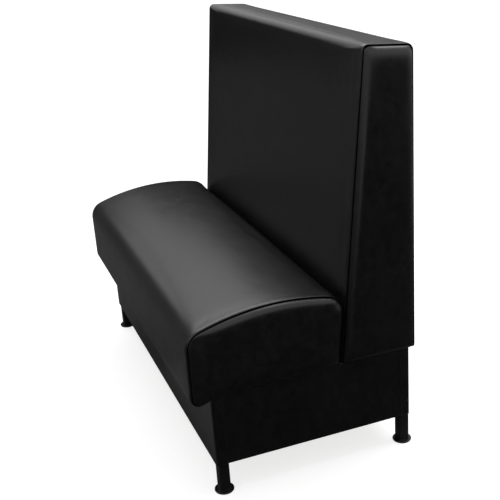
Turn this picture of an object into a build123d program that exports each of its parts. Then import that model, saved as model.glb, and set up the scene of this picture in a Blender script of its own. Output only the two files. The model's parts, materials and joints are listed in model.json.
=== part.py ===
from build123d import *
from math import atan, cos
import os

os.makedirs("parts", exist_ok=True)

# Free-standing booth seat, millimetres. X runs along the booth, +Y points to the rear and Z is up.
# The origin is on the floor, under the middle of the bounding box.

# Lengths along X
seam_x = 556.0
end_x = 565.0
base_half_length = 549.0

# Upholstery
cover_thickness = 1.2
fill_inset = 1.5
board_clearance = 0.2
lip_width = 40.0
seam_gap = 0.3
fill_half_length = 555.5

# Back: a reclined face, a plumb rear and a top that falls to the rear
back_rear = 302.0
face_y_at_floor = 67.8
face_lean = 0.1025
top_z_at_axis = 1081.8
top_fall = 0.0881
top_front_radius = 14.0
top_rear_radius = 12.0
hem_radius = 1.6
least_radius = 0.3
back_face_bulge = 3.0
back_top_rise = 0.8

# Seat cushion, seen from its end
upholstery_bottom = 284.0
seat_back_gap = 5.0
seat_front = -297.8
seat_rear_top_z = 464.0
seat_peak_y = -66.0
seat_peak_z = 489.8
seat_front_top_z = 444.8
seat_rear_radius = 52.0
seat_front_radius = 50.0
nose_rear_y = -251.3
nose_rear_z = 271.8
nose_slope = 0.36
nose_radius = 21.0
nose_edge_radius = 2.0
seat_edge_rise = 10.0
seat_middle_rise = 6.5
seat_edge_bulge = 3.0
seat_middle_bulge = 1.2
crown_power = 8
crown_exponent = 0.8
section_runs = ((-556.0, -540.0, -510.0, -450.0), (-450.0, 0.0, 450.0), (450.0, 510.0, 540.0, 556.0))

# Padded end panels: distance out from the seam and how far the outline has drawn in there
pad_steps = ((0.3, 0.6), (4.5, 3.0), (7.6, 9.0), (9.0, 20.0))
nose_share_in_pads = 0.4

# Seat boards
deck_thickness = 15.0
deck_front = -253.0
deck_rear = 84.0
nosing_front = -282.0
nosing_bottom = 275.0

# Back boards
back_foam_thickness = 25.0
face_board_thickness = 6.0
rear_board_thickness = 4.0
top_pad_thickness = 12.0
frame_board = 18.0
bottom_rail_height = 30.0
middle_rail_z = 660.0

# Base
base_front = -249.7
base_rear = 292.8
base_bottom = 81.6
base_wrap = 1.5
base_corner_radius = 5.0
base_lip = 12.0
front_pad_thickness = 3.2
panel_thickness = 12.0

# Square tube frame
tube = 28.6
tube_wall = 1.6
tube_radius = 4.0
leg_bottom = 6.7
frame_top = upholstery_bottom - base_wrap
rail_bottom = frame_top - tube
tab_width = 25.0
tab_height = 30.0
tab_thickness = 3.0
tab_z = 150.0

# Levelling glides, screwed fully in
pad_height = 2.0
pad_radius = 24.0
pad_edge = 0.6
flange_height = 3.0
flange_radius = 25.0
flange_edge = 1.0
flange_hole_radius = 5.0
stem_radius = 4.9
stem_top = 45.0
stem_chamfer = 0.8
insert_gap = 0.2
insert_depth = 20.0
insert_clearance = 0.1
insert_hole_radius = 5.05

# Fasteners
bolt_radius = 3.9
bolt_hole_radius = 4.5
bolt_head_radius = 6.5
bolt_head_height = 5.0
bolt_inset = 6.0
nut_barrel_radius = 5.0
nut_bore_radius = 4.0
nut_barrel_length = 10.0
nut_flange_radius = 11.0
nut_flange_thickness = 1.5
nut_clearance = 0.1
bolt_end_below_nut = 1.2
screw_radius = 1.9
screw_head_radius = 3.6
screw_head_height = 2.2
screw_depth = 8.0
pilot_radius = 2.0
tab_hole_radius = 2.2
seat_bolt_x = (-400.0, 0.0, 400.0)
back_bolt_x = (-420.0, -140.0, 140.0, 420.0)

# Limits of cutting shapes that only have to reach past the object
past_low = 100.0
past_high = 1300.0
past_front = -500.0
past_rear = 500.0

frame_half_length = base_half_length - base_wrap
leg_x = frame_half_length - tube / 2
frame_front = base_front + base_wrap + front_pad_thickness
frame_rear = base_rear - base_wrap
front_leg_y = frame_front + tube / 2
rear_leg_y = frame_rear - tube / 2
leg_inner_x = leg_x - tube / 2
front_leg_inner_y = front_leg_y + tube / 2
rear_leg_inner_y = rear_leg_y - tube / 2
board_bottom = upholstery_bottom + cover_thickness + board_clearance
deck_top = board_bottom + deck_thickness
flange_bottom = pad_height
flange_top = flange_bottom + flange_height
insert_bottom = flange_top + insert_gap
lean_cos = cos(atan(face_lean))
fall_cos = cos(atan(top_fall))

foam_back_offset = fill_inset + back_foam_thickness
face_board_offset = foam_back_offset + board_clearance
frame_offset = face_board_offset + face_board_thickness + board_clearance
frame_rear_y = back_rear - fill_inset - rear_board_thickness - board_clearance
top_pad_drop = fill_inset + top_pad_thickness
frame_drop = top_pad_drop + board_clearance

corners = {
    "front_left": (-1, -1),
    "front_right": (1, -1),
    "rear_left": (-1, 1),
    "rear_right": (1, 1),
}


def save(part, label):
    part.label = label
    export_step(part, f"parts/{label}.step")


# A curve that falls to nothing at the seams, steeply at the ends and gently over the middle
def crown(x, edge, middle):
    share = min(abs(x) / seam_x, 1.0)
    return edge * (1 - share**crown_power) ** crown_exponent + middle * (1 - share**2)


# The reclined face of the back at a height, and the falling top at a depth
def face_y(z, offset=0.0):
    return face_y_at_floor + face_lean * z + offset


def top_z(y, drop=0.0):
    return top_z_at_axis - top_fall * y - drop


# Where the face, moved back by offset, meets the top, lowered by drop
def face_top(offset, drop):
    y = (face_y(0, offset) + face_lean * (top_z_at_axis - drop)) / (1 + face_lean * top_fall)
    return y, top_z(y, drop)


def round_corners(sketch, radii):
    for (y, z), radius in radii:
        fillet(sketch.vertices().sort_by_distance((y, z, 0))[0], radius)


def back_section(x, inset):
    offset = inset / lean_cos - crown(x, back_face_bulge, 0)
    drop = inset / fall_cos - crown(x, back_top_rise, 0)
    bottom = upholstery_bottom + inset
    rear = back_rear - inset
    front_high = face_top(offset, drop)
    rear_high = (rear, top_z(rear, drop))
    front_low = (face_y(bottom, offset), bottom)
    rear_low = (rear, bottom)
    with BuildSketch(Plane.YZ.offset(x)) as section:
        Polygon(front_low, rear_low, rear_high, front_high, align=None)
        round_corners(
            section,
            (
                (front_low, max(hem_radius - inset, least_radius)),
                (rear_low, max(hem_radius - inset, least_radius)),
                (rear_high, top_rear_radius - inset / 2),
                (front_high, top_front_radius - inset / 2),
            ),
        )
    return section.sketch


def seat_section(x, inset, nose_share=1.0):
    rise = crown(x, seat_edge_rise, seat_middle_rise) - inset
    front = seat_front + inset - crown(x, seat_edge_bulge, seat_middle_bulge)
    rear_offset = -seat_back_gap - inset - crown(x, back_face_bulge, 0)
    bottom = upholstery_bottom + inset
    nose_inset = inset * nose_share
    rear_low = (face_y(bottom, rear_offset), bottom)
    rear_high = (face_y(seat_rear_top_z, rear_offset), seat_rear_top_z + rise)
    peak = (seat_peak_y, seat_peak_z + rise)
    front_high = (front, seat_front_top_z + rise)
    nose_low = (nose_rear_y - nose_inset, nose_rear_z + nose_inset)
    nose_high = (nose_rear_y - nose_inset, bottom)
    front_low = (front, nose_low[1] - nose_slope * (nose_low[0] - front))
    with BuildSketch(Plane.YZ.offset(x)) as section:
        with BuildLine():
            Polyline(rear_high, rear_low, nose_high, nose_low, front_low, front_high)
            ThreePointArc(front_high, peak, rear_high)
        make_face()
        round_corners(
            section,
            (
                (rear_low, max(hem_radius - inset, least_radius)),
                (rear_high, seat_rear_radius - inset),
                (front_high, seat_front_radius - inset),
                (front_low, nose_radius - inset / 2),
                (nose_low, nose_edge_radius),
            ),
        )
    return section.sketch


# A body through cross-sections along the booth, drawn in by inset, that reaches half_length each way
def loft_along(section, inset, half_length=seam_x, mode=Mode.ADD):
    for run in section_runs:
        loft(sections=[section(x * half_length / seam_x, inset) for x in run], mode=mode)


def seat_pad_section(x, inset):
    return seat_section(x, inset, nose_share_in_pads)


# A board, square to the booth's length, given by its outline in Y and Z
def board(outline, x_from, x_to):
    with BuildPart() as plank:
        with BuildSketch(Plane.YZ.offset(x_from)):
            Polygon(*outline, align=None)
        extrude(amount=x_to - x_from)
    return plank.part


def block(x_from, x_to, y_from, y_to, z_from, z_to, mode=Mode.ADD):
    centre = ((x_from + x_to) / 2, (y_from + y_to) / 2, (z_from + z_to) / 2)
    with Locations(centre):
        Box(abs(x_to - x_from), abs(y_to - y_from), abs(z_to - z_from), mode=mode)


def upright(x, y, z_from, z_to, radius, mode=Mode.ADD):
    with Locations((x, y, (z_from + z_to) / 2)):
        Cylinder(radius, z_to - z_from, mode=mode)


# Fastener places: the bolts stand in the inner half of each rail, clear of the base panels
front_bolt_y = front_leg_y + bolt_inset
rear_bolt_y = rear_leg_y - bolt_inset
side_bolt_x = leg_x - bolt_inset
seat_bolts_at = [(x, front_bolt_y) for x in seat_bolt_x] + [(-side_bolt_x, 0.0), (side_bolt_x, 0.0)]
back_bolts_at = [(x, rear_bolt_y) for x in back_bolt_x]
all_bolts_at = seat_bolts_at + back_bolts_at


def bolt_holes(places, z_from, z_to):
    for x, y in places:
        upright(x, y, z_from, z_to, bolt_hole_radius, mode=Mode.SUBTRACT)


def nut_seats(places, z_from, z_top):
    for x, y in places:
        upright(x, y, z_from, z_top, nut_barrel_radius + nut_clearance, mode=Mode.SUBTRACT)
        seat_from = z_top - nut_flange_thickness - nut_clearance
        upright(x, y, seat_from, z_top, nut_flange_radius + nut_clearance, mode=Mode.SUBTRACT)


# Each corner leg has one tab behind the front or rear board and one behind the end board.
# A tab screw is given by where it enters the tab and the way it points.
def long_board_screw(side, end):
    outer = frame_front if end < 0 else frame_rear
    face = outer - end * (panel_thickness + board_clearance + tab_thickness)
    return (side * (leg_inner_x - tab_width / 2), face, tab_z), (0, end, 0)


def end_board_screw(side, end):
    inner = front_leg_inner_y if end < 0 else rear_leg_inner_y
    face = side * (frame_half_length - panel_thickness - board_clearance - tab_thickness)
    return (face, inner - end * tab_width / 2, tab_z), (side, 0, 0)


def drill(place, direction, radius, depth):
    with BuildSketch(Plane(origin=place, z_dir=direction)) as hole:
        Circle(radius)
    extrude(hole.sketch, amount=depth, mode=Mode.SUBTRACT)


def make_leg(side, end):
    x = side * leg_x
    y = front_leg_y if end < 0 else rear_leg_y
    long_place, long_way = long_board_screw(side, end)
    end_place, end_way = end_board_screw(side, end)
    with BuildPart() as leg:
        with BuildSketch(Plane.XY.offset(leg_bottom)):
            with Locations((x, y)):
                RectangleRounded(tube, tube, tube_radius)
                bore = tube - 2 * tube_wall
                RectangleRounded(bore, bore, tube_radius - tube_wall, mode=Mode.SUBTRACT)
        extrude(amount=frame_top - leg_bottom)
        tab_low = tab_z - tab_height / 2
        tab_high = tab_z + tab_height / 2
        root_x = side * leg_inner_x
        long_face = long_place[1]
        block(root_x, root_x - side * tab_width, long_face, long_face + end * tab_thickness, tab_low, tab_high)
        root_y = front_leg_inner_y if end < 0 else rear_leg_inner_y
        end_face = end_place[0]
        block(end_face, end_face + side * tab_thickness, root_y, root_y - end * tab_width, tab_low, tab_high)
        drill(long_place, long_way, tab_hole_radius, tab_thickness)
        drill(end_place, end_way, tab_hole_radius, tab_thickness)
    return leg.part


def make_insert(x, y):
    plug = tube - 2 * (tube_wall + insert_clearance)
    with BuildPart() as insert:
        with BuildSketch(Plane.XY.offset(insert_bottom)):
            with Locations((x, y)):
                RectangleRounded(tube, tube, tube_radius)
                Circle(insert_hole_radius, mode=Mode.SUBTRACT)
        extrude(amount=leg_bottom - insert_bottom)
        with BuildSketch(Plane.XY.offset(leg_bottom)):
            with Locations((x, y)):
                RectangleRounded(plug, plug, tube_radius - tube_wall)
                Circle(insert_hole_radius, mode=Mode.SUBTRACT)
        extrude(amount=insert_depth)
    return insert.part


def make_stem(x, y):
    with BuildPart() as stem:
        upright(x, y, flange_bottom, stem_top, stem_radius)
        chamfer(stem.faces().sort_by(Axis.Z)[-1].edges(), stem_chamfer)
    return stem.part


def make_flange(x, y):
    with BuildPart() as flange:
        upright(x, y, flange_bottom, flange_top, flange_radius)
        fillet(flange.faces().sort_by(Axis.Z)[-1].edges(), flange_edge)
        upright(x, y, flange_bottom, flange_top, flange_hole_radius, mode=Mode.SUBTRACT)
    return flange.part


def make_foot_pad(x, y):
    with BuildPart() as foot_pad:
        upright(x, y, 0.0, pad_height, pad_radius)
        fillet(foot_pad.faces().sort_by(Axis.Z)[0].edges(), pad_edge)
    return foot_pad.part


# A rail between two legs: the hollow square tube lies along X or Y
def make_rail(plane, centre, half_span):
    with BuildPart() as rail:
        with BuildSketch(plane.offset(-half_span)):
            with Locations(centre):
                RectangleRounded(tube, tube, tube_radius)
                bore = tube - 2 * tube_wall
                RectangleRounded(bore, bore, tube_radius - tube_wall, mode=Mode.SUBTRACT)
        extrude(amount=2 * half_span)
        bolt_holes(all_bolts_at, rail_bottom, frame_top)
    return rail.part


for name, (side, end) in corners.items():
    foot_x = side * leg_x
    foot_y = front_leg_y if end < 0 else rear_leg_y
    save(make_leg(side, end), f"leg_{name}")
    save(make_insert(foot_x, foot_y), f"leg_insert_{name}")
    save(make_stem(foot_x, foot_y), f"glide_stem_{name}")
    save(make_flange(foot_x, foot_y), f"glide_flange_{name}")
    save(make_foot_pad(foot_x, foot_y), f"glide_pad_{name}")

rail_z = frame_top - tube / 2
end_rail_middle = (front_leg_inner_y + rear_leg_inner_y) / 2
end_rail_half = (rear_leg_inner_y - front_leg_inner_y) / 2
end_rail_plane = Plane(origin=(0, end_rail_middle, 0), x_dir=(1, 0, 0), z_dir=(0, 1, 0))
save(make_rail(Plane.YZ, (front_leg_y, rail_z), leg_inner_x), "base_rail_front")
save(make_rail(Plane.YZ, (rear_leg_y, rail_z), leg_inner_x), "base_rail_rear")
save(make_rail(end_rail_plane, (-leg_x, -rail_z), end_rail_half), "base_rail_left")
save(make_rail(end_rail_plane, (leg_x, -rail_z), end_rail_half), "base_rail_right")

# Base boards between the legs, under the rails
panel_bottom = base_bottom + base_wrap + board_clearance
panel_top = rail_bottom - board_clearance


def make_long_board(end):
    outer = frame_front if end < 0 else frame_rear
    half = leg_inner_x - board_clearance
    with BuildPart() as panel:
        block(-half, half, outer, outer - end * panel_thickness, panel_bottom, panel_top)
        for side in (-1, 1):
            place, way = long_board_screw(side, end)
            drill(place, way, pilot_radius, tab_thickness + board_clearance + screw_depth)
    return panel.part


def make_end_board(side):
    outer = side * frame_half_length
    y_from = front_leg_inner_y + board_clearance
    y_to = rear_leg_inner_y - board_clearance
    with BuildPart() as panel:
        block(outer, outer - side * panel_thickness, y_from, y_to, panel_bottom, panel_top)
        for end in (-1, 1):
            place, way = end_board_screw(side, end)
            drill(place, way, pilot_radius, tab_thickness + board_clearance + screw_depth)
    return panel.part


save(make_long_board(-1), "base_panel_front")
save(make_long_board(1), "base_panel_rear")
save(make_end_board(-1), "base_panel_left")
save(make_end_board(1), "base_panel_right")

with BuildPart() as base_front_pad:
    pad_half = frame_half_length - base_corner_radius
    block(-pad_half, pad_half, base_front + base_wrap, frame_front, panel_bottom, frame_top - board_clearance)
save(base_front_pad.part, "base_front_pad")

# Vinyl band round the base, turned in under the boards and over the rails
base_middle_y = (base_front + base_rear) / 2
base_depth = base_rear - base_front
with BuildPart() as base_cover:
    with BuildSketch(Plane.XY.offset(base_bottom)):
        with Locations((0, base_middle_y)):
            RectangleRounded(2 * base_half_length, base_depth, base_corner_radius)
            RectangleRounded(
                2 * frame_half_length,
                base_depth - 2 * base_wrap,
                base_corner_radius - base_wrap,
                mode=Mode.SUBTRACT,
            )
    extrude(amount=upholstery_bottom - base_bottom)
    for lip_z in (base_bottom, frame_top):
        with BuildSketch(Plane.XY.offset(lip_z)):
            with Locations((0, base_middle_y)):
                Rectangle(2 * frame_half_length, base_depth - 2 * base_wrap)
                Rectangle(
                    2 * (frame_half_length - base_lip),
                    base_depth - 2 * (base_wrap + base_lip),
                    mode=Mode.SUBTRACT,
                )
        extrude(amount=base_wrap)
    for side, end in corners.values():
        notch_x = side * leg_x
        notch_y = front_leg_y if end < 0 else rear_leg_y
        notch = tube / 2
        block(
            notch_x - side * (notch + board_clearance),
            notch_x + side * notch,
            notch_y - end * (notch + board_clearance),
            notch_y + end * notch,
            base_bottom,
            base_bottom + base_wrap,
            mode=Mode.SUBTRACT,
        )
save(base_cover.part, "base_cover")

with BuildPart() as panel_screws:
    for side, end in corners.values():
        for place, way in (long_board_screw(side, end), end_board_screw(side, end)):
            with BuildSketch(Plane(origin=place, z_dir=way)):
                Circle(screw_head_radius)
            extrude(amount=-screw_head_height)
            with BuildSketch(Plane(origin=place, z_dir=way)):
                Circle(screw_radius)
            extrude(amount=tab_thickness + board_clearance + screw_depth)
save(panel_screws.part, "panel_screws")

# Seat cushion
with BuildPart() as seat_deck:
    block(-fill_half_length, fill_half_length, deck_front, deck_rear, board_bottom, deck_top)
    nut_seats(seat_bolts_at, board_bottom, deck_top)
save(seat_deck.part, "seat_deck")

with BuildPart() as seat_nosing:
    nosing_rear = deck_front - board_clearance
    block(-fill_half_length, fill_half_length, nosing_front, nosing_rear, nosing_bottom, deck_top)
save(seat_nosing.part, "seat_nosing")

foam_floor = deck_top + board_clearance
nosing_under = nosing_bottom - board_clearance
nosing_face = nosing_front - board_clearance
seat_board_space = (
    (nosing_face, foam_floor),
    (nosing_face, nosing_under),
    (deck_front, nosing_under),
    (deck_front, past_low),
    (past_rear, past_low),
    (past_rear, foam_floor),
)
with BuildPart() as seat_foam:
    loft_along(seat_section, fill_inset, fill_half_length)
    add(board(seat_board_space, -end_x, end_x), mode=Mode.SUBTRACT)
save(seat_foam.part, "seat_foam")

lip_top = upholstery_bottom + cover_thickness
seat_lip_front = nose_rear_y + lip_width
seat_lip_rear = face_y(upholstery_bottom, -seat_back_gap) - lip_width
with BuildPart() as seat_cover:
    loft_along(seat_section, 0.0)
    loft_along(seat_section, cover_thickness, mode=Mode.SUBTRACT)
    block(-end_x, end_x, seat_lip_front, seat_lip_rear, upholstery_bottom, lip_top, mode=Mode.SUBTRACT)
    bolt_holes(seat_bolts_at, upholstery_bottom, lip_top)
save(seat_cover.part, "seat_cover")


def make_end_pad(section, side, lip_from, lip_to, holes):
    with BuildPart() as end_pad:
        loft(sections=[section(side * (seam_x + out), inset) for out, inset in pad_steps])
        lip_inner = side * (seam_x - lip_width)
        lip_outer = side * (seam_x + seam_gap + cover_thickness)
        block(lip_inner, lip_outer, lip_from, lip_to, upholstery_bottom + pad_steps[0][1], lip_top)
        bolt_holes(holes, upholstery_bottom, lip_top)
    return end_pad.part


for name, side in (("left", -1), ("right", 1)):
    seat_end = make_end_pad(
        seat_pad_section, side, seat_lip_front + board_clearance, seat_lip_rear - board_clearance, seat_bolts_at
    )
    save(seat_end, f"seat_end_{name}")

with BuildPart() as seat_bolts:
    for x, y in seat_bolts_at:
        upright(x, y, rail_bottom - bolt_head_height, rail_bottom, bolt_head_radius)
        upright(x, y, rail_bottom, deck_top - bolt_end_below_nut, bolt_radius)
save(seat_bolts.part, "seat_bolts")


def make_nuts(places, z_top):
    with BuildPart() as nuts:
        for x, y in places:
            upright(x, y, z_top - nut_flange_thickness, z_top, nut_flange_radius)
            upright(x, y, z_top - nut_barrel_length, z_top, nut_barrel_radius)
            upright(x, y, z_top - nut_barrel_length, z_top, nut_bore_radius, mode=Mode.SUBTRACT)
    return nuts.part


save(make_nuts(seat_bolts_at, deck_top), "seat_nuts")

# Back
frame_face_top = face_top(frame_offset, frame_drop)
frame_rear_top = (frame_rear_y, top_z(frame_rear_y, frame_drop))
side_outline = (
    (face_y(board_bottom, frame_offset), board_bottom),
    (frame_rear_y, board_bottom),
    frame_rear_top,
    frame_face_top,
)
rail_half = fill_half_length - frame_board - board_clearance
save(board(side_outline, -fill_half_length, frame_board - fill_half_length), "back_side_left")
save(board(side_outline, fill_half_length - frame_board, fill_half_length), "back_side_right")

top_rail_drop = frame_drop + frame_board
top_rail_outline = (
    face_top(frame_offset, top_rail_drop),
    (frame_rear_y, top_z(frame_rear_y, top_rail_drop)),
    frame_rear_top,
    frame_face_top,
)
save(board(top_rail_outline, -rail_half, rail_half), "back_rail_top")

bottom_rail_top = board_bottom + bottom_rail_height
bottom_rail_outline = (
    (face_y(board_bottom, frame_offset), board_bottom),
    (frame_rear_y, board_bottom),
    (frame_rear_y, bottom_rail_top),
    (face_y(bottom_rail_top, frame_offset), bottom_rail_top),
)
with BuildPart() as back_rail_bottom:
    add(board(bottom_rail_outline, -rail_half, rail_half))
    nut_seats(back_bolts_at, board_bottom, bottom_rail_top)
save(back_rail_bottom.part, "back_rail_bottom")

# The middle rail and the centre stud cross in a halved joint
middle_rail_top = middle_rail_z + frame_board
halving_y = (face_y(middle_rail_z, frame_offset) + frame_rear_y) / 2
middle_rail_outline = (
    (face_y(middle_rail_z, frame_offset), middle_rail_z),
    (frame_rear_y, middle_rail_z),
    (frame_rear_y, middle_rail_top),
    (face_y(middle_rail_top, frame_offset), middle_rail_top),
)
notch_half = frame_board / 2 + board_clearance
with BuildPart() as back_rail_middle:
    add(board(middle_rail_outline, -rail_half, rail_half))
    block(-notch_half, notch_half, 0.0, halving_y, middle_rail_z, middle_rail_top, mode=Mode.SUBTRACT)
save(back_rail_middle.part, "back_rail_middle")

stud_bottom = bottom_rail_top + board_clearance
stud_drop = top_rail_drop + board_clearance
stud_outline = (
    (face_y(stud_bottom, frame_offset), stud_bottom),
    (frame_rear_y, stud_bottom),
    (frame_rear_y, top_z(frame_rear_y, stud_drop)),
    face_top(frame_offset, stud_drop),
)
with BuildPart() as back_stud:
    add(board(stud_outline, -frame_board / 2, frame_board / 2))
    block(
        -frame_board,
        frame_board,
        halving_y,
        past_rear,
        middle_rail_z - board_clearance,
        middle_rail_top + board_clearance,
        mode=Mode.SUBTRACT,
    )
save(back_stud.part, "back_stud")

face_board_rear = face_board_offset + face_board_thickness
face_board_outline = (
    (face_y(board_bottom, face_board_offset), board_bottom),
    (face_y(board_bottom, face_board_rear), board_bottom),
    face_top(face_board_rear, frame_drop),
    face_top(face_board_offset, frame_drop),
)
save(board(face_board_outline, -fill_half_length, fill_half_length), "back_face_board")

rear_board_front = frame_rear_y + board_clearance
rear_board_rear = rear_board_front + rear_board_thickness
rear_board_outline = (
    (rear_board_front, board_bottom),
    (rear_board_rear, board_bottom),
    (rear_board_rear, top_z(rear_board_rear, frame_drop)),
    (rear_board_front, top_z(rear_board_front, frame_drop)),
)
save(board(rear_board_outline, -fill_half_length, fill_half_length), "back_rear_board")

behind_foam = (
    (face_y(past_low, foam_back_offset), past_low),
    (past_rear, past_low),
    (past_rear, past_high),
    (face_y(past_high, foam_back_offset), past_high),
)
with BuildPart() as back_foam:
    loft_along(back_section, fill_inset, fill_half_length)
    add(board(behind_foam, -end_x, end_x), mode=Mode.SUBTRACT)
save(back_foam.part, "back_foam")

outside_top_pad = (
    (past_front, past_low),
    (past_rear, past_low),
    (past_rear, top_z(past_rear, top_pad_drop)),
    face_top(face_board_offset, top_pad_drop),
    (face_y(past_high, face_board_offset), past_high),
    (past_front, past_high),
)
with BuildPart() as back_top_pad:
    loft_along(back_section, fill_inset, fill_half_length)
    add(board(outside_top_pad, -end_x, end_x), mode=Mode.SUBTRACT)
save(back_top_pad.part, "back_top_pad")

back_lip_front = face_y(upholstery_bottom) + lip_width
back_lip_rear = back_rear - lip_width
with BuildPart() as back_cover:
    loft_along(back_section, 0.0)
    loft_along(back_section, cover_thickness, mode=Mode.SUBTRACT)
    block(-end_x, end_x, back_lip_front, back_lip_rear, upholstery_bottom, lip_top, mode=Mode.SUBTRACT)
    bolt_holes(back_bolts_at, upholstery_bottom, lip_top)
save(back_cover.part, "back_cover")

for name, side in (("left", -1), ("right", 1)):
    back_end = make_end_pad(
        back_section, side, back_lip_front + board_clearance, back_lip_rear - board_clearance, back_bolts_at
    )
    save(back_end, f"back_end_{name}")

with BuildPart() as back_bolts:
    for x, y in back_bolts_at:
        upright(x, y, rail_bottom - bolt_head_height, rail_bottom, bolt_head_radius)
        upright(x, y, rail_bottom, bottom_rail_top - bolt_end_below_nut, bolt_radius)
save(back_bolts.part, "back_bolts")
save(make_nuts(back_bolts_at, bottom_rail_top), "back_nuts")
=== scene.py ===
import json
import math

import bpy
import numpy as np
from mathutils import Matrix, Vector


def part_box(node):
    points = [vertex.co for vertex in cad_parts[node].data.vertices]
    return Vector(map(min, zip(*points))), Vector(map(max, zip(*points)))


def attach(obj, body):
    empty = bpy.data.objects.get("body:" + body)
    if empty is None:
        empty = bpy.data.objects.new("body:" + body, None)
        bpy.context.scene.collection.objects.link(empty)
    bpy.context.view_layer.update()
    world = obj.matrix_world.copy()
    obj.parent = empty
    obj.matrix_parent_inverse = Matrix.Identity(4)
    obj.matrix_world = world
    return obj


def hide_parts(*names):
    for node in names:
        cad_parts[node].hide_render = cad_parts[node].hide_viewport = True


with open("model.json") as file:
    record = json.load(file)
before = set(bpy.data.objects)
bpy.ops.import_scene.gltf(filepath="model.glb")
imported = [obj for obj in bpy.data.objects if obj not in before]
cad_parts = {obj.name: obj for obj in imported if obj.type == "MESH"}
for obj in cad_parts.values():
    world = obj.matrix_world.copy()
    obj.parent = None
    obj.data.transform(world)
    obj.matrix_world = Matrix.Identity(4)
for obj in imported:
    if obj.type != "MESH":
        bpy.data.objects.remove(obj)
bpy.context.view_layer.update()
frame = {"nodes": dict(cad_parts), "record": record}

# every length is in metres; x runs along the booth, y to the rear, z up
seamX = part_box("seat_cover")[1][0]      # the end panels are sewn on at this distance from the middle
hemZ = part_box("base_cover")[1][2]       # underside of the cushions, top of the base
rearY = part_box("back_cover")[1][1]
quarter = math.pi / 2


# outlines in the y-z plane, run anticlockwise: up the rear, over the top, down the front and back underneath

def line(start, end, steps):
    # start + t (end - start); the last point is left to the next run
    t = np.arange(steps)[:, None] / steps
    return np.asarray(start) + t * (np.asarray(end) - np.asarray(start))


def arc(fillet, share, steps):
    # centre + radius (cos a, sin a) over a share of the fillet's turn
    centre, radius, a, turn = fillet
    angle = a + turn * (share[0] + (share[1] - share[0]) * np.arange(steps) / steps)
    return centre + radius * np.stack([np.cos(angle), np.sin(angle)], 1)


def arcEnd(fillet, share):
    # one point of the same circle
    centre, radius, a, turn = fillet
    return centre + radius * np.array([math.cos(a + turn * share), math.sin(a + turn * share)])


def filletBetween(centre, radius, first, last):
    # centre, radius, angle of the first direction, and the turn to the last: atan2(first x last, first . last)
    turn = math.atan2(first[0] * last[1] - first[1] * last[0], first @ last)
    return centre, radius, math.atan2(first[1], first[0]), turn


def cornerFillet(before, corner, after, radius):
    # the circle that touches both sides has its centre radius / sin(half the corner) along the bisector
    corner = np.asarray(corner, float)
    a = np.asarray(before) - corner
    b = np.asarray(after) - corner
    a = a / np.linalg.norm(a)
    b = b / np.linalg.norm(b)
    half = 0.5 * math.acos(float(a @ b))
    centre = corner + (a + b) / np.linalg.norm(a + b) * radius / math.sin(half)
    first = corner + a * radius / math.tan(half) - centre
    last = corner + b * radius / math.tan(half) - centre
    return filletBetween(centre, radius, first, last)


def crownFillet(crown, point, along, inward, radius, upFirst):
    # a circle inside the crown's circle and touching a side: its centre is radius off the side and
    # (crown radius - radius) from the crown's centre
    start = np.asarray(point) + radius * np.asarray(inward) - crown["centre"]
    b = float(start @ along)
    c = float(start @ start) - (crown["radius"] - radius) ** 2
    t = -b + math.sqrt(b * b - c)
    centre = crown["centre"] + start + t * np.asarray(along)
    onSide = -np.asarray(inward) * radius
    onCrown = (centre - crown["centre"]) / (crown["radius"] - radius) * radius
    first, last = (onSide, onCrown) if upFirst else (onCrown, onSide)
    return filletBetween(centre, radius, first, last)


# closed cushions: one profile at the seams, a fuller one inside them

backForm = {
    "faceAtFloor": 0.0678, "lean": 0.1025,      # the front face: y = faceAtFloor + lean z
    "topAtAxis": 1.0818, "fall": 0.0881,        # the top: z = topAtAxis - fall y
    "topDepth": 0.12, "hem": 0.005, "spacing": 0.0103,
    "turns": {"hem": 2, "rear": 4, "front": 5},     # points on half of each corner
    "seam": {"face": 0.0, "top": 0.0028, "rear": 0.0036, "frontRadius": 0.015, "rearRadius": 0.018},
    "full": {"face": 0.0030, "top": 0.0042, "rear": 0.0062, "frontRadius": 0.020, "rearRadius": 0.018},
    "pillow": 0.018, "soften": 0.240,           # how far from the seam the cover is plump, and full
    "middleFace": 0.0, "middleTop": 0.0,        # the crown along the booth
    "paintedSeamShade": {"front": 1.5, "top": 0.65, "rear": 0.30, "bottom": 1.0},     # how fast the shade painted along each seam ends, by side
    "end": {
        "puff": 0.0150, "chamfer": 0.0205, "taper": 0.50, "softness": 16,
        "reach": {"rear": 0.0120, "top": 0.0090, "bottom": 0.008},
        "shoulder": {"rear": 0.0, "top": 0.0, "bottom": 0.2}, "shoulderReach": 0.0020,
    },
    "lip": 0.040,                               # how far the cover is turned in under the boards
    "pressure": 1.2, "cap": 0.0012, "fade": 0.045, "fill": 0.9,     # the filling
}

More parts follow.
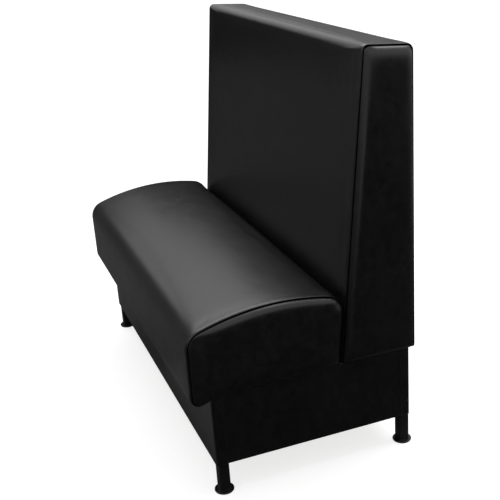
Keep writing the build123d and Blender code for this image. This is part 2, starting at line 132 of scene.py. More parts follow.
seatForm = {
    "front": -0.2978, "gap": 0.005,             # the front face, and the gap to the back's face
    "crownY": -0.0659, "crownZ": -0.1277, "crownRadius": 0.6175,
    "noseY": -0.2513, "noseZ": 0.2718, "noseSlope": 0.36, "heelRadius": 0.003,      # the lip that hangs in front
    "topDepth": 0.33, "faceHeight": 0.14, "hem": 0.005, "spacing": 0.0085,
    "turns": {"hem": 2, "top": 6, "nose": 5, "heel": 3, "lip": 4, "step": 2},       # the heel's is a whole corner
    "seam": {
        "rise": 0.0022, "face": -0.0010, "rear": 0.0, "rearRadius": 0.050, "frontRadius": 0.048, "nose": 0.021},
    "full": {
        "rise": 0.0046, "face": 0.0030, "rear": 0.0020, "rearRadius": 0.054, "frontRadius": 0.052, "nose": 0.022},
    "pillow": 0.009, "soften": 0.080, "middleFace": 0.0012, "middleTop": 0.0050,
    # the per-side numbers below set how fast the painted seam shade ends on each side
    "paintedSeamShade": {"front": 1.6, "top": 1.25, "rear": 1.0, "bottom": 1.0},
    "end": {
        "puff": 0.0150, "chamfer": 0.055, "taper": 0.0, "softness": 3,
        "reach": {"rear": 0.011, "top": 0.0080, "bottom": 0.008},
        "shoulder": {"rear": 0.0, "top": 0.12, "bottom": 0.2}, "shoulderReach": 0.0022,
    },
    "lip": 0.040, "pressure": 1.2, "cap": 0.0012, "fade": 0.045, "fill": 0.9,
}

stitch = {
    "depth": 0.0016, "width": 0.0017,           # how the sewing draws the vinyl in
    "uprightShare": 0.9, "uprightReach": 0.006, "uprightEnd": 0.010,        # less so on an end's upright seams
}
edgeRows = (0, 0.0008, 0.0018, 0.0034, 0.0058, 0.009, 0.013, 0.0185, 0.025)     # rows of points beside a seam
endInsets = edgeRows[1:5]
flat = 0.0002                                   # a point this close to hemZ lies on the boards


def backLoop(form, size):
    # upright rear, falling top, leaning face and level bottom, with a fillet in each corner; also the numbers of
    # points on the rear and on the top, which are those on the front and on the bottom too
    face = lambda z: form["faceAtFloor"] + form["lean"] * z - size["face"]
    top = lambda y: form["topAtAxis"] - form["fall"] * y + size["top"]
    y = (face(0) + form["lean"] * (form["topAtAxis"] + size["top"])) / (1 + form["lean"] * form["fall"])
    rear = rearY + size["rear"]
    a, b, c, d = (rear, hemZ), (rear, top(rear)), (y, top(y)), (face(hemZ), hemZ)
    hemA = cornerFillet(d, a, b, form["hem"])
    topB = cornerFillet(a, b, c, size["rearRadius"])
    topC = cornerFillet(b, c, d, size["frontRadius"])
    hemD = cornerFillet(c, d, a, form["hem"])
    high = round((form["topAtAxis"] - hemZ) / form["spacing"])
    deep = round(form["topDepth"] / form["spacing"])
    hem, rearTurn, frontTurn = (form["turns"][side] for side in ("hem", "rear", "front"))
    tall, wide = hem + high + rearTurn, rearTurn + deep + frontTurn
    rows = [
        (hemA, hem, high, topB, rearTurn), (topB, rearTurn, deep, topC, frontTurn),
        (topC, frontTurn, tall - frontTurn - hem, hemD, hem), (hemD, hem, wide - 2 * hem, hemA, hem),
    ]
    runs = []
    for start, startTurn, steps, end, endTurn in rows:
        runs += [arc(start, (0.5, 1), startTurn), line(arcEnd(start, 1), arcEnd(end, 0), steps)]
        runs += [arc(end, (0, 0.5), endTurn)]
    return np.concatenate(runs), (tall, wide)


def seatLoop(form, size):
    # rear along the back's face, a circle's arc for the top, upright front, a nose that hangs over the base, and a
    # level bottom; with the same two numbers of points
    lean = backForm["lean"]
    tilt = math.hypot(1, lean)
    rear = lambda z: backForm["faceAtFloor"] + lean * z - form["gap"]
    front = form["front"] - size["face"]
    crown = {"centre": np.array([form["crownY"], form["crownZ"] + size["rise"]]), "radius": form["crownRadius"]}
    low = (rear(hemZ), hemZ)
    step = (form["noseY"], hemZ)
    heel = (form["noseY"], form["noseZ"])
    toe = (front, form["noseZ"] - form["noseSlope"] * (form["noseY"] - front))
    topB = crownFillet(crown, low, (lean / tilt, 1 / tilt), (-1 / tilt, lean / tilt), size["rearRadius"], True)
    topC = crownFillet(crown, (front, 0), (0, 1), (1, 0), size["frontRadius"], False)
    hemA = cornerFillet(step, low, arcEnd(topB, 0), form["hem"])
    noseD = cornerFillet((front, 1), toe, heel, size["nose"])
    noseE = cornerFillet(toe, heel, step, form["heelRadius"])
    crest = filletBetween(
        crown["centre"], crown["radius"], arcEnd(topB, 1) - crown["centre"], arcEnd(topC, 0) - crown["centre"])
    deep = round(form["topDepth"] / form["spacing"])
    high = round(form["faceHeight"] / form["spacing"])
    turns = form["turns"]
    hem, bend, nose = turns["hem"], turns["top"], turns["nose"]
    tall, wide = bend + high + nose, bend + deep + bend
    under = wide - nose - turns["lip"] - turns["heel"] - turns["step"] - hem
    runs = [
        arc(hemA, (0.5, 1), hem), line(arcEnd(hemA, 1), arcEnd(topB, 0), tall - hem - bend),
        arc(topB, (0, 0.5), bend), arc(topB, (0.5, 1), bend),
        arc(crest, (0, 1), deep), arc(topC, (0, 0.5), bend), arc(topC, (0.5, 1), bend),
        line(arcEnd(topC, 1), arcEnd(noseD, 0), high), arc(noseD, (0, 0.5), nose), arc(noseD, (0.5, 1), nose),
        line(arcEnd(noseD, 1), arcEnd(noseE, 0), turns["lip"]), arc(noseE, (0, 1), turns["heel"]),
        line(arcEnd(noseE, 1), step, turns["step"]),
        line(step, arcEnd(hemA, 0), under), arc(hemA, (0, 0.5), hem),
    ]
    return np.concatenate(runs), (tall, wide)


def pillow(distance, width, power=2.2):
    # 1 - (1 - d/w)^p: 0 at the seam, level at 1 from the width inwards
    return 1 - (1 - np.clip(distance / width, 0, 1)) ** power


def stitchDip(distance):
    # -depth exp(-(d/w)^2): the vinyl is drawn in where it is sewn
    return -stitch["depth"] * np.exp(-(distance / stitch["width"]) ** 2)


def outward(loop):
    # (dz, -dy) of the chord across each point of an anticlockwise loop
    chord = np.roll(loop, -1, 0) - np.roll(loop, 1, 0)
    normal = np.stack([chord[..., 1], -chord[..., 0]], -1)
    return normal / np.linalg.norm(normal, axis=-1, keepdims=True)


def rowsAlong(spacing):
    # rows crowd at the seams, then go on evenly; the second array is each row's distance from its seam
    inner = np.linspace(edgeRows[-1], seamX, round((seamX - edgeRows[-1]) / spacing) + 1)[1:]
    distance = np.concatenate([edgeRows, inner])
    x = np.concatenate([distance - seamX, (seamX - distance)[::-1][1:]])
    return x, seamX - np.abs(x)


def coverPoints(form, seamLoop, plumpLoop, fullLoop, x, distance):
    # point(x, s) = seam(s) + (plump(s) - seam(s)) pillow(x, width) + (full(s) - plump(s)) pillow(x, soften)
    #   + normal(s) (middle(s) (1 - (x / seamX)^2) + dip(x)); plump has the seam's radii and the full size
    loop = seamLoop + (plumpLoop - seamLoop) * pillow(distance, form["pillow"])[:, None, None]
    loop = loop + (fullLoop - plumpLoop) * pillow(distance, form["soften"])[:, None, None]
    normal = outward(fullLoop)
    middle = form["middleTop"] * np.clip(normal[:, 1], 0, 1) ** 2
    middle = middle + form["middleFace"] * np.clip(-normal[:, 0], 0, 1) ** 2
    rise = middle[None, :] * (1 - (x / seamX) ** 2)[:, None] + stitchDip(distance)[:, None]
    loop = loop + normal * rise[..., None]
    return np.concatenate([np.broadcast_to(x[:, None, None], loop.shape[:2] + (1,)), loop], 2)


def coons(ring, sides, u, v):
    # (1-u) rear(v) + u front(v) + (1-v) bottom(u) + v top(u) - the bilinear blend of the corners,
    # each side a run of the closed ring taken by its point numbers
    tall, wide = sides
    closed = np.concatenate([ring, ring[:1]])
    at = lambda place: np.stack([np.interp(place, np.arange(len(closed)), closed[:, k]) for k in (0, 1)], -1)
    rear, top = at(v * tall), at(tall + u * wide)
    front, bottom = at(tall + wide + (1 - v) * tall), at(len(ring) - u * wide)
    corner = [ring[0], ring[tall], ring[tall + wide], ring[tall + wide + tall]]
    u, v = u[..., None], v[..., None]
    blend = (1 - u) * (1 - v) * corner[0] + (1 - u) * v * corner[1] + u * v * corner[2] + u * (1 - v) * corner[3]
    return (1 - u) * rear + u * front + (1 - v) * bottom + v * top - blend


def endPatch(ring, sides, insets):
    # rings at the given distances inside the seam, then a grid over what is left; the index is the ring's point
    # numbers along the grid's border
    tall, wide = sides
    width = np.linalg.norm(ring[tall] - ring[tall + wide])
    height = np.linalg.norm(ring[0] - ring[tall])
    up, over = np.arange(tall) / tall, np.arange(wide) / wide
    u = np.concatenate([0 * up, over, 0 * up + 1, 1 - over])
    v = np.concatenate([up, 0 * over + 1, 1 - up, 0 * over])
    rings = [
        coons(ring, sides, d / width + u * (1 - 2 * d / width), d / height + v * (1 - 2 * d / height))
        for d in insets
    ]
    index = np.zeros((tall + 1, wide + 1), int)
    index[:, 0] = np.arange(tall + 1)
    index[tall, :] = tall + np.arange(wide + 1)
    index[:, wide] = tall + wide + tall - np.arange(tall + 1)
    index[0, 1:] = len(ring) - np.arange(1, wide + 1)
    index %= len(ring)
    v, u = np.meshgrid(np.arange(1, tall) / tall, np.arange(1, wide) / wide, indexing="ij")
    return rings, coons(rings[-1], sides, u, v), index


def distanceTo(points, run):
    # distance from each point to the nearest piece of an open run
    a, ab = run[:-1], run[1:] - run[:-1]
    ap = points[:, None] - a[None]
    t = np.clip((ap * ab).sum(-1) / (ab * ab).sum(-1), 0, 1)
    return np.linalg.norm(ap - t[..., None] * ab, axis=-1).min(1)


def endSwell(points, ring, sides, end, paintedSeamShade):
    # puff times one rise from each side, plus the stitches' dip. From rear, top and bottom the rise is a quick
    # shoulder and a slow 1 - exp(-d / reach). From the front it is a straight slope that levels off at the
    # chamfer's width, which tapers downwards. The dip is shallower along the upright seams
    tall, wide = sides
    closed = np.concatenate([ring, ring[:1]])
    runs = {
        "rear": closed[:tall + 1], "top": closed[tall:tall + wide + 1],
        "front": closed[tall + wide:2 * tall + wide + 1], "bottom": closed[2 * tall + wide:],
    }
    away = {side: distanceTo(points, run) for side, run in runs.items()}
    low = 1 - (points[:, 1] - hemZ) / (ring[:, 1].max() - hemZ)
    t = away["front"] / end["chamfer"] / (1 - end["taper"] * low)
    rise = 1 - np.log1p(np.exp(end["softness"] * (1 - t))) / end["softness"]
    for side, reach in end["reach"].items():
        quick = end["shoulder"][side]
        shoulder = quick * np.exp(-away[side] / end["shoulderReach"])
        rise = rise * (1 - shoulder - (1 - quick) * np.exp(-away[side] / reach))
    depth = np.minimum.reduce(list(away.values()))
    upright = np.exp(-np.minimum(away["front"], away["rear"]) / stitch["uprightReach"])
    upright = upright * (1 - np.exp(-np.minimum(away["top"], away["bottom"]) / stitch["uprightEnd"]))
    dip = (stitchDip(depth) - stitchDip(0.0)) * (1 - stitch["uprightShare"] * upright)
    # each point's distance to a seam, scaled per side: the painted seam shade covers where the smallest of these
    # is small
    shade = np.minimum.reduce([away[side] * paintedSeamShade[side] for side in away])
    return end["puff"] * rise + dip, shade


def cushion(form, loopOf):
    # the closed form: rows of the cover, then the inside of each end panel; quads are tagged by what they
    # become: 0 the cover, 1 and 2 the end panels, 3 what the boards hide
    seamLoop, sides = loopOf(form, form["seam"])
    fullLoop, _ = loopOf(form, form["full"])
    radii = {key: form["seam"][key] for key in ("frontRadius", "rearRadius", "nose") if key in form["seam"]}
    plumpLoop, _ = loopOf(form, form["full"] | radii)
    x, distance = rowsAlong(form["spacing"])
    cover = coverPoints(form, seamLoop, plumpLoop, fullLoop, x, distance)
    rows, count = cover.shape[:2]
    index = np.arange(rows * count).reshape(rows, count)
    nextOne = np.roll(index, -1, 1)
    quads = [np.stack([index[:-1], nextOne[:-1], nextOne[1:], index[1:]], -1).reshape(-1, 4)]
    tags = [np.zeros(len(quads[0]), int)]
    points = [cover.reshape(-1, 3)]
    way = outward(fullLoop)
    near = {"front": -way[:, 0], "top": way[:, 1], "rear": way[:, 0], "bottom": -way[:, 1]}
    # the cover's distance to the end seams, scaled by which way the cover faces, decides where the painted seam
    # shade lies; the filling fades by it too
    widen = sum(form["paintedSeamShade"][side] * np.clip(share, 0, 1) ** 2 for side, share in near.items())
    seams = [(distance[:, None] * widen[None, :]).ravel()]
    ring = cover[0, :, 1:]
    rings, inside, ringIndex = endPatch(ring, sides, endInsets)
    patch = np.concatenate(rings + [inside.reshape(-1, 2)])
    out, shade = endSwell(patch, ring, sides, form["end"], form["paintedSeamShade"])
    base = rows * count
    for tag, side, row in ((1, -1, 0), (2, 1, rows - 1)):
        points.append(np.concatenate([(side * (seamX + out))[:, None], patch], 1))
        seams.append(shade)
        ringPoints = base + np.arange(len(rings) * count).reshape(-1, count)
        bands = np.concatenate([[np.arange(count) + row * count], ringPoints])
        turned = np.roll(bands, -1, 1)
        band = np.stack([bands[:-1], turned[:-1], turned[1:], bands[1:]], -1).reshape(-1, 4)
        grid = ringIndex + bands[-1, 0]
        grid[1:-1, 1:-1] = base + len(rings) * count + np.arange(inside[..., 0].size).reshape(inside.shape[:2])
        face = np.stack([grid[:-1, :-1], grid[:-1, 1:], grid[1:, 1:], grid[1:, :-1]], -1).reshape(-1, 4)
        face = np.concatenate([band[:, ::-1], face])
        quads.append(face if side < 0 else face[:, ::-1])
        tags.append(np.full(len(face), tag))
        base += len(patch)
    points, quads, tags, seams = (np.concatenate(parts) for parts in (points, quads, tags, seams))
    middle = points[quads].mean(1)
    rested = fullLoop[:, 0][fullLoop[:, 1] < hemZ + flat]
    under = (tags == 0) & (points[quads][:, :, 2].max(1) < hemZ + flat)
    under &= (middle[:, 1] >= rested.min() + form["lip"]) & (middle[:, 1] <= rested.max() - form["lip"])
    endLip = np.abs(middle[:, 0]) > seamX - form["lip"]
    tags[under] = 3
    tags[under & endLip & (middle[:, 0] < 0)] = 1
    tags[under & endLip & (middle[:, 0] > 0)] = 2
    held = (seams < 1e-6) | (points[:, 2] < hemZ + 2 * flat)
    return points, quads, tags, seams, held


def newObject(name, points, quads):
    # a smooth-shaded mesh of quads, in the scene
    mesh = bpy.data.meshes.new(name)
    mesh.from_pydata(points.tolist(), [], quads.tolist())
    mesh.polygons.foreach_set("use_smooth", np.ones(len(quads), bool))
    made = bpy.data.objects.new(name, mesh)
    bpy.context.scene.collection.objects.link(made)
    return made


clothFill = {
    "frames": 20,
    "settings": {
        "quality": 6, "mass": 0.5, "tension_stiffness": 30, "compression_stiffness": 30, "shear_stiffness": 15,
        "bending_stiffness": 8, "use_pressure": True,
    },
}


def fillUp(points, quads, seams, held, form):
    # air pressure inside the closed cover, held at its seams and under its boards; each move is kept under a cap,
    # cap tanh(move / cap), and fades towards the seams, 1 - exp(-(d / fade)^2)
    pad = newObject("filling", points, quads)
    group = pad.vertex_groups.new(name="held")
    group.add(np.flatnonzero(held).tolist(), 1.0, "REPLACE")
    cloth = pad.modifiers.new("cloth", "CLOTH")
    for key, value in clothFill["settings"].items():
        setattr(cloth.settings, key, value)
    cloth.settings.uniform_pressure_force = form["pressure"]
    cloth.settings.vertex_group_mass = "held"
    cloth.settings.effector_weights.gravity = 0
    cloth.collision_settings.use_collision = False
    cloth.point_cache.frame_start = 1
    cloth.point_cache.frame_end = clothFill["frames"]
    scene = bpy.context.scene
    for step in range(clothFill["frames"]):
        scene.frame_set(step + 1)
    filled = pad.evaluated_get(bpy.context.evaluated_depsgraph_get())
    after = np.empty(len(points) * 3)
    filled.data.vertices.foreach_get("co", after)
    bpy.data.objects.remove(pad)
    scene.frame_set(1)
    move = after.reshape(-1, 3) - points
    size = np.linalg.norm(move, axis=1, keepdims=True)
    mean, most = (round(float(value) * 1000, 2) for value in (size.mean(), size.max()))
    print("   filled: mean move", mean, "mm, most", most)
    kept = form["cap"] * np.tanh(size / form["cap"]) / np.maximum(size, 1e-9)
    return points + move * kept * (1 - np.exp(-(seams[:, None] / form["fade"]) ** 2))


def takePiece(name, points, quads, seams):
    # the quads of one piece, with only the points that they use
    used, compact = np.unique(quads, return_inverse=True)
    piece = newObject(name, points[used], compact.reshape(-1, 4))
    # the scaled distance to a seam, which the vinyl reads to paint shade along the seams
    seam = piece.data.attributes.new("seam", "FLOAT", "POINT")
    seam.data.foreach_set("value", seams[used].astype(np.float32))
    smooth = piece.modifiers.new("smooth", "SUBSURF")
    smooth.levels = smooth.render_levels = 1
    smooth.boundary_smooth = "PRESERVE_CORNERS"
    return piece


def makeCushion(form, loopOf, names, stands):
    # a cover and its two end panels, cut from one closed form after it is filled
    points, quads, tags, seams, held = cushion(form, loopOf)
    points = fillUp(points, quads, seams, held, form)
    made = []
    for tag, name in enumerate(names):
        piece = takePiece(name, points, quads[tags == tag], seams)
        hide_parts(*stands[tag])
        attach(piece, "booth")
        made.append(piece)
    print("cushion:", names, len(points), "points")
    return made


cushions = makeCushion(
    seatForm, seatLoop, ("seatCover", "seatEndLeft", "seatEndRight"),
    (("seat_cover", "seat_foam"), ("seat_end_left",), ("seat_end_right",)),
)
cushions += makeCushion(
    backForm, backLoop, ("backCover", "backEndLeft", "backEndRight"),
    (("back_cover", "back_foam", "back_top_pad"), ("back_end_left",), ("back_end_right",)),
)


# the vinyl band round the base

baseForm = {
    "tube": 0.0286, "cornerRadius": 0.005, "frontBulge": 0.0024, "bulgeRamp": 1.3,
    "endRecess": 0.0010, "recessRamp": 0.007,                       # the ends sink a little between the legs
    "ridge": 0.0014, "ridgeIn": 0.0045, "ridgeWidth": 0.0016,       # the legs' inner edges show through
    "hem": 0.003, "lip": 0.012, "lipAtLeg": 0.0004, "tuck": 0.0050, "tuckAtLeg": 0.0042,
    "legClear": 0.001, "legRamp": 0.004, "waves": ((0.0005, 21, 0), (0.0003, 57, 1.3)),
    "cornerDip": 0.0013, "dipReach": 0.03, "dipHeight": 0.02,       # the lower corners are pulled down
    "spacing": 0.0085, "closeUp": (0.001, 0.0022, 0.0035, 0.005, 0.0075), "closeUpReach": 0.0105,
}


def withCloseUp(low, high, form, places):
    # even steps, with close ones about the given places
    even = np.linspace(low, high, round((high - low) / form["spacing"]) + 1)
    close = np.array(form["closeUp"])
    close = np.concatenate([-close[::-1], [0], close])
    for place in places:
        even = np.concatenate([even[np.abs(even - place) > form["closeUpReach"]], place + close])
    return np.sort(even)


def baseBand(form):
    # point(s, h) = plan(s) + normal(s) (bulge(s, h) + ridge(s) - recess(s) - inward(h)), height(s, h)
    (x0, y0, z0), (x1, y1, z1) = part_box("base_cover")
    (_, legFront, _), (legSide, _, _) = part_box("leg_front_right")
    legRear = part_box("leg_rear_right")[1][1]
    r, tube = form["cornerRadius"], form["tube"]
    ridges = (legFront + tube - form["ridgeIn"], legRear - tube + form["ridgeIn"])
    legIn = x1 - legSide + tube + form["legClear"]
    alongX = withCloseUp(x0 + r, x1 - r, form, (x0 + legIn, x1 - legIn))[:-1]
    alongY = withCloseUp(y0 + r, y1 - r, form, ridges)
    plan = np.concatenate([
        np.stack([alongX, 0 * alongX + y0], 1), arc(((x1 - r, y0 + r), r, -quarter, quarter), (0, 1), 4),
        np.stack([0 * alongY + x1, alongY], 1)[:-1], arc(((x1 - r, y1 - r), r, 0, quarter), (0, 1), 4),
        np.stack([-alongX, 0 * alongX + y1], 1), arc(((x0 + r, y1 - r), r, quarter, quarter), (0, 1), 4),
        np.stack([0 * alongY + x0, alongY[::-1]], 1)[:-1], arc(((x0 + r, y0 + r), r, math.pi, quarter), (0, 1), 4),
    ])
    normal = outward(plan)
    onFront = np.clip(-normal[:, 1], 0, 1) ** 4
    onEnd = np.abs(normal[:, 0]) ** 4
    length = np.cumsum(np.linalg.norm(plan - np.roll(plan, 1, 0), axis=1))
    fromSide = x1 - np.abs(plan[:, 0])
    fromFace = np.minimum(plan[:, 1] - y0, y1 - plan[:, 1])
    fromRidge = np.minimum(plan[:, 1] - ridges[0], ridges[1] - plan[:, 1])
    between = np.clip(fromRidge / form["recessRamp"], 0, 1)
    recess = form["endRecess"] * onEnd * between ** 2 * (3 - 2 * between)
    ridge = sum(np.exp(-((plan[:, 1] - place) / form["ridgeWidth"]) ** 2) for place in ridges)
    ridge = form["ridge"] * onEnd * ridge
    bulge = form["frontBulge"] * onFront * (1 - np.clip(np.abs(plan[:, 0]) / x1, 0, 1) ** 4)
    free = np.clip((np.where(onEnd > 0.5, fromFace, fromSide) - legIn) / form["legRamp"], 0, 1)
    wave = sum(size * np.sin(turns * length + start) for size, turns, start in form["waves"])
    tuck = np.where(free > 0, form["tuck"] + free * wave, form["tuckAtLeg"])
    h, tall = form["hem"], z1 - z0
    fold = np.linspace(quarter, 0, 5)
    roll = np.linspace(0, quarter, 5)[None, 1:]
    wall = np.linspace(0, 1, round(tall / form["spacing"]))[None, 1:]
    t = tuck[:, None]
    one = np.ones_like(t)
    lip = h + form["lipAtLeg"] + (form["lip"] - h) * free[:, None]
    inward = np.concatenate([
        lip, (lip + h) / 2, one * (h - h * np.cos(fold)), 0 * one * wall, t - t * np.cos(roll), t + lip - h], 1)
    height = np.concatenate([
        0 * one, 0 * one, one * (h - h * np.sin(fold)), h + (tall - h - t) * wall, tall - t + t * np.sin(roll),
        tall * one], 1)
    share = np.sqrt(np.clip(np.sin(math.pi * height / tall), 0, 1))
    offset = (bulge + ridge - recess)[:, None] * np.clip(share * form["bulgeRamp"], 0, 1) - inward
    nearCorner = np.clip(1 - fromSide / form["dipReach"], 0, 1) * np.clip(1 - fromFace / form["dipReach"], 0, 1)
    z = z0 + height - form["cornerDip"] * nearCorner[:, None] * np.clip(1 - height / form["dipHeight"], 0, 1)
    points = np.stack([plan[:, :1] + normal[:, :1] * offset, plan[:, 1:] + normal[:, 1:] * offset, z], -1)
    rows, count = points.shape[:2]
    index = np.arange(rows * count).reshape(rows, count)
    following = np.roll(index, -1, 0)
    quads = np.stack([index[:, :-1], following[:, :-1], following[:, 1:], index[:, 1:]], -1).reshape(-1, 4)
    return points.reshape(-1, 3), quads


points, quads = baseBand(baseForm)
baseBandPiece = takePiece("baseBand", points, quads, np.full(len(points), 1.0))     # no seams on it, so no painted seam shade
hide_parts("base_cover", "base_front_pad")
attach(baseBandPiece, "booth")
print("base band:", len(points), "points")


# materials: sockets take part in plain Python expressions

class Wire:
    # one output socket; + - and * on it add Math nodes
    def __init__(self, shader, socket):
        self.shader = shader
        self.socket = socket

    def maths(self, operation, a, b=0.0, clamp=False):
        return self.shader.node("ShaderNodeMath", {"operation": operation, "use_clamp": clamp}, {0: a, 1: b})

    def __add__(self, other):
        return self.maths("ADD", self, other)

    def __sub__(self, other):
        return self.maths("SUBTRACT", self, other)

    def __rsub__(self, other):
        return self.maths("SUBTRACT", other, self)

    def __mul__(self, other):
        return self.maths("MULTIPLY", self, other)

    __radd__ = __add__
    __rmul__ = __mul__

    def clamped(self):
        return self.maths("ADD", self, clamp=True)

    def fraction(self):
        return self.maths("FRACT", self)


class Finish:
    # a material, or the world, and the nodes that it is made of
    def __init__(self, made, output="ShaderNodeOutputMaterial"):
        self.made = made
        self.made.use_nodes = True
        self.tree = self.made.node_tree
        self.tree.nodes.clear()
        self.surface = self.tree.nodes.new(output)
        self.spot = None

    def node(self, kind, settings=None, inputs=None, out=0):
        made = self.tree.nodes.new(kind)
        for key, value in (settings or {}).items():
            setattr(made, key, value)
        for key, value in (inputs or {}).items():
            if isinstance(value, Wire):
                self.tree.links.new(value.socket, made.inputs[key])
            else:
                made.inputs[key].default_value = value
        return Wire(self, made.outputs[out])

    def place(self):
        # where a point is on the object; one node, made when it is first asked for
        self.spot = self.spot or self.node("ShaderNodeTexCoord", out="Object")
        return self.spot

    def noise(self, scale, detail, rough, at=None, out=0):
        return self.node("ShaderNodeTexNoise", None, {
            "Vector": at or self.place(), "Scale": scale, "Detail": detail, "Roughness": rough}, out)

    def cells(self, scale, at=None, feature="F1"):
        return self.node("ShaderNodeTexVoronoi", {"feature": feature}, {
            "Vector": at or self.place(), "Scale": scale})

    def stretched(self, scale):
        return self.node("ShaderNodeMapping", None, {"Vector": self.place(), "Scale": scale})

    def vector(self, operation, inputs):
        return self.node("ShaderNodeVectorMath", {"operation": operation}, inputs)

    def between(self, share, first, second):
        # a colour from first to second
        return self.node("ShaderNodeMix", {"data_type": "RGBA"}, {0: share, 6: first, 7: second}, out=2)

    def steps(self, value, low, high):
        # 0 below low, 1 above high, smooth between
        return self.node("ShaderNodeMapRange", {"interpolation_type": "SMOOTHSTEP"}, {
            "Value": value, "From Min": low, "From Max": high})

    def bump(self, height, distance):
        return self.node("ShaderNodeBump", None, {"Height": height, "Distance": distance})

    def mixed(self, share, first, second):
        return self.node("ShaderNodeMixShader", None, {0: share, 1: first, 2: second})

    def principled(self, **inputs):
        return self.node("ShaderNodeBsdfPrincipled", None, {k.replace("_", " "): v for k, v in inputs.items()})

    def finishWith(self, shader):
        self.tree.links.new(shader.socket, self.surface.inputs["Surface"])
        return self.made


# a noise is its scale, detail and roughness; a roughness of two numbers is the least and what a pattern adds

vinylLook = {
    "dark": (0.0012, 0.0012, 0.0012, 1), "light": (0.0068, 0.0068, 0.0068, 1), "roughness": 0.35, "specular": 0.5,
    "noises": ((9.0, 5.0, 0.6), (42.0, 4.0, 0.62), (95.0, 6.0, 0.75)),      # cloudy, mottled and fine
    "colourShares": (0.8, 1.3, 2.6), "roughShares": (0.10, 0.14, 0.06),     # how much each sways them
    "grainSize": 0.0011, "grainDepth": 0.00006, "pebbles": 0.7, "puckers": 4.0,
    "wander": (260.0, 2.0, 0.5), "wanderSize": 0.0008,      # keeps the grain's cells from being too regular
    # the next colour and roughness are a painted shade laid along the seams: dark and matt, with no reflection,
    # mixed in near a seam
    "paintedSeamShade": (0.0015, 0.0015, 0.0015, 1), "paintedShadeRoughness": 0.9, "paintedShadeWidth": 0.0024,
}


def weighed(middle, noises, shares):
    # middle + the sum of (noise - 0.5) share
    for noise, share in zip(noises, shares):
        middle = middle + (noise - 0.5) * share
    return middle


def blackVinyl(look):
    # satin upholstery vinyl: fine leather grain, faint cloudiness, and a painted shade along the seams, where a
    # dark matt shader with no reflection takes over from the vinyl
    f = Finish(bpy.data.materials.new("blackVinyl"))
    noises = [f.noise(*values) for values in look["noises"]]
    share = weighed(0.5, noises, look["colourShares"]).clamped()
    shift = f.vector("SCALE", {0: f.noise(*look["wander"], out=1), "Scale": look["wanderSize"]})
    warped = f.vector("ADD", {0: f.place(), 1: shift})
    pebbles = f.cells(1 / look["grainSize"], warped, "SMOOTH_F1")
    height = pebbles * look["pebbles"] + noises[-1] * look["puckers"]
    body = f.principled(
        Base_Color=f.between(share, look["dark"], look["light"]),
        Roughness=weighed(look["roughness"], noises, look["roughShares"]),
        Specular_IOR_Level=look["specular"], Normal=f.bump(height, look["grainDepth"]))
    # near a seam the vinyl gives way to the painted shade: fully within half the width, fading out at the width
    seam = f.node("ShaderNodeAttribute", {"attribute_name": "seam"}, out="Fac")
    paintedSeamShade = f.node("ShaderNodeBsdfDiffuse", None, {"Color": look["paintedSeamShade"], "Roughness": look["paintedShadeRoughness"]})
    inPaintedShade = 1 - f.steps(seam, look["paintedShadeWidth"] * 0.5, look["paintedShadeWidth"])
    return f.finishWith(f.mixed(inPaintedShade, body, paintedSeamShade))


coatLook = {
    "dark": (0.0028, 0.0028, 0.003, 1), "light": (0.0058, 0.0058, 0.006, 1), "roughness": (0.28, 0.12),
    "specular": 0.5, "peel": (700.0, 2.0, 0.45), "peelDepth": 0.00008, "cloud": (22.0, 3.0, 0.6),
}


def powderCoat(look):
    # black powder coat: shallow orange peel, cloudy in colour and gloss
    f = Finish(bpy.data.materials.new("powderCoat"))
    cloud = f.noise(*look["cloud"])
    least, more = look["roughness"]
    return f.finishWith(f.principled(
        Base_Color=f.between(cloud, look["dark"], look["light"]), Roughness=least + cloud * more,
        Specular_IOR_Level=look["specular"], Normal=f.bump(f.noise(*look["peel"]), look["peelDepth"])))


zincLook = {
    "dark": (0.50, 0.50, 0.49, 1), "light": (0.66, 0.66, 0.64, 1), "roughness": (0.28, 0.22),
    "spangle": 900.0, "streak": (60.0, 4.0, 0.6), "stretch": (1, 1, 0.15), "streakDepth": 0.00003,
}


def zincPlate(look):
    # bright plating: fine crystals in the gloss, faint streaks along the stem
    f = Finish(bpy.data.materials.new("zincPlate"))
    streak = f.noise(*look["streak"], f.stretched(look["stretch"]))
    least, more = look["roughness"]
    return f.finishWith(f.principled(
        Base_Color=f.between(streak, look["dark"], look["light"]), Metallic=1.0,
        Roughness=least + f.cells(look["spangle"]) * more, Normal=f.bump(streak, look["streakDepth"])))


plasticLook = {
    "speckle": (1500.0, 2.0, 0.5), "speckleDepth": 0.00004, "cloud": (30.0, 3.0, 0.5), "roughness": (0.5, 0.18),
    "plugPlastic": ((0.018, 0.018, 0.018, 1), (0.028, 0.028, 0.028, 1)),
    "glideNylon": ((0.035, 0.035, 0.036, 1), (0.055, 0.055, 0.055, 1)),
}


def mouldedPlastic(look, name):
    # a finely speckled mould surface
    f = Finish(bpy.data.materials.new(name))
    speckle = f.noise(*look["speckle"])
    least, more = look["roughness"]
    return f.finishWith(f.principled(
        Base_Color=f.between(f.noise(*look["cloud"]), *look[name]), Roughness=least + speckle * more,
        Normal=f.bump(speckle, look["speckleDepth"])))


woodLook = {
    "figure": (18.0, 6.0, 0.62), "rings": 7.0, "ringShare": 0.55, "pores": (260.0, 3.0, 0.6), "poreShare": 0.45,
    "grainDepth": 0.00015, "roughness": (0.62, 0.2), "plyShare": 0.35, "plyShade": 0.7, "plyWobble": 0.4,
    "birchPly": {
        "early": (0.60, 0.43, 0.26, 1), "late": (0.46, 0.30, 0.16, 1), "stretch": (0.08, 1, 1), "plies": 90.0},
    "softwood": {"early": (0.62, 0.44, 0.25, 1), "late": (0.45, 0.28, 0.13, 1), "stretch": (0.08, 1, 1)},
    "hardboard": {"early": (0.20, 0.12, 0.065, 1), "late": (0.15, 0.085, 0.045, 1), "stretch": (1, 1, 0.08)},
}


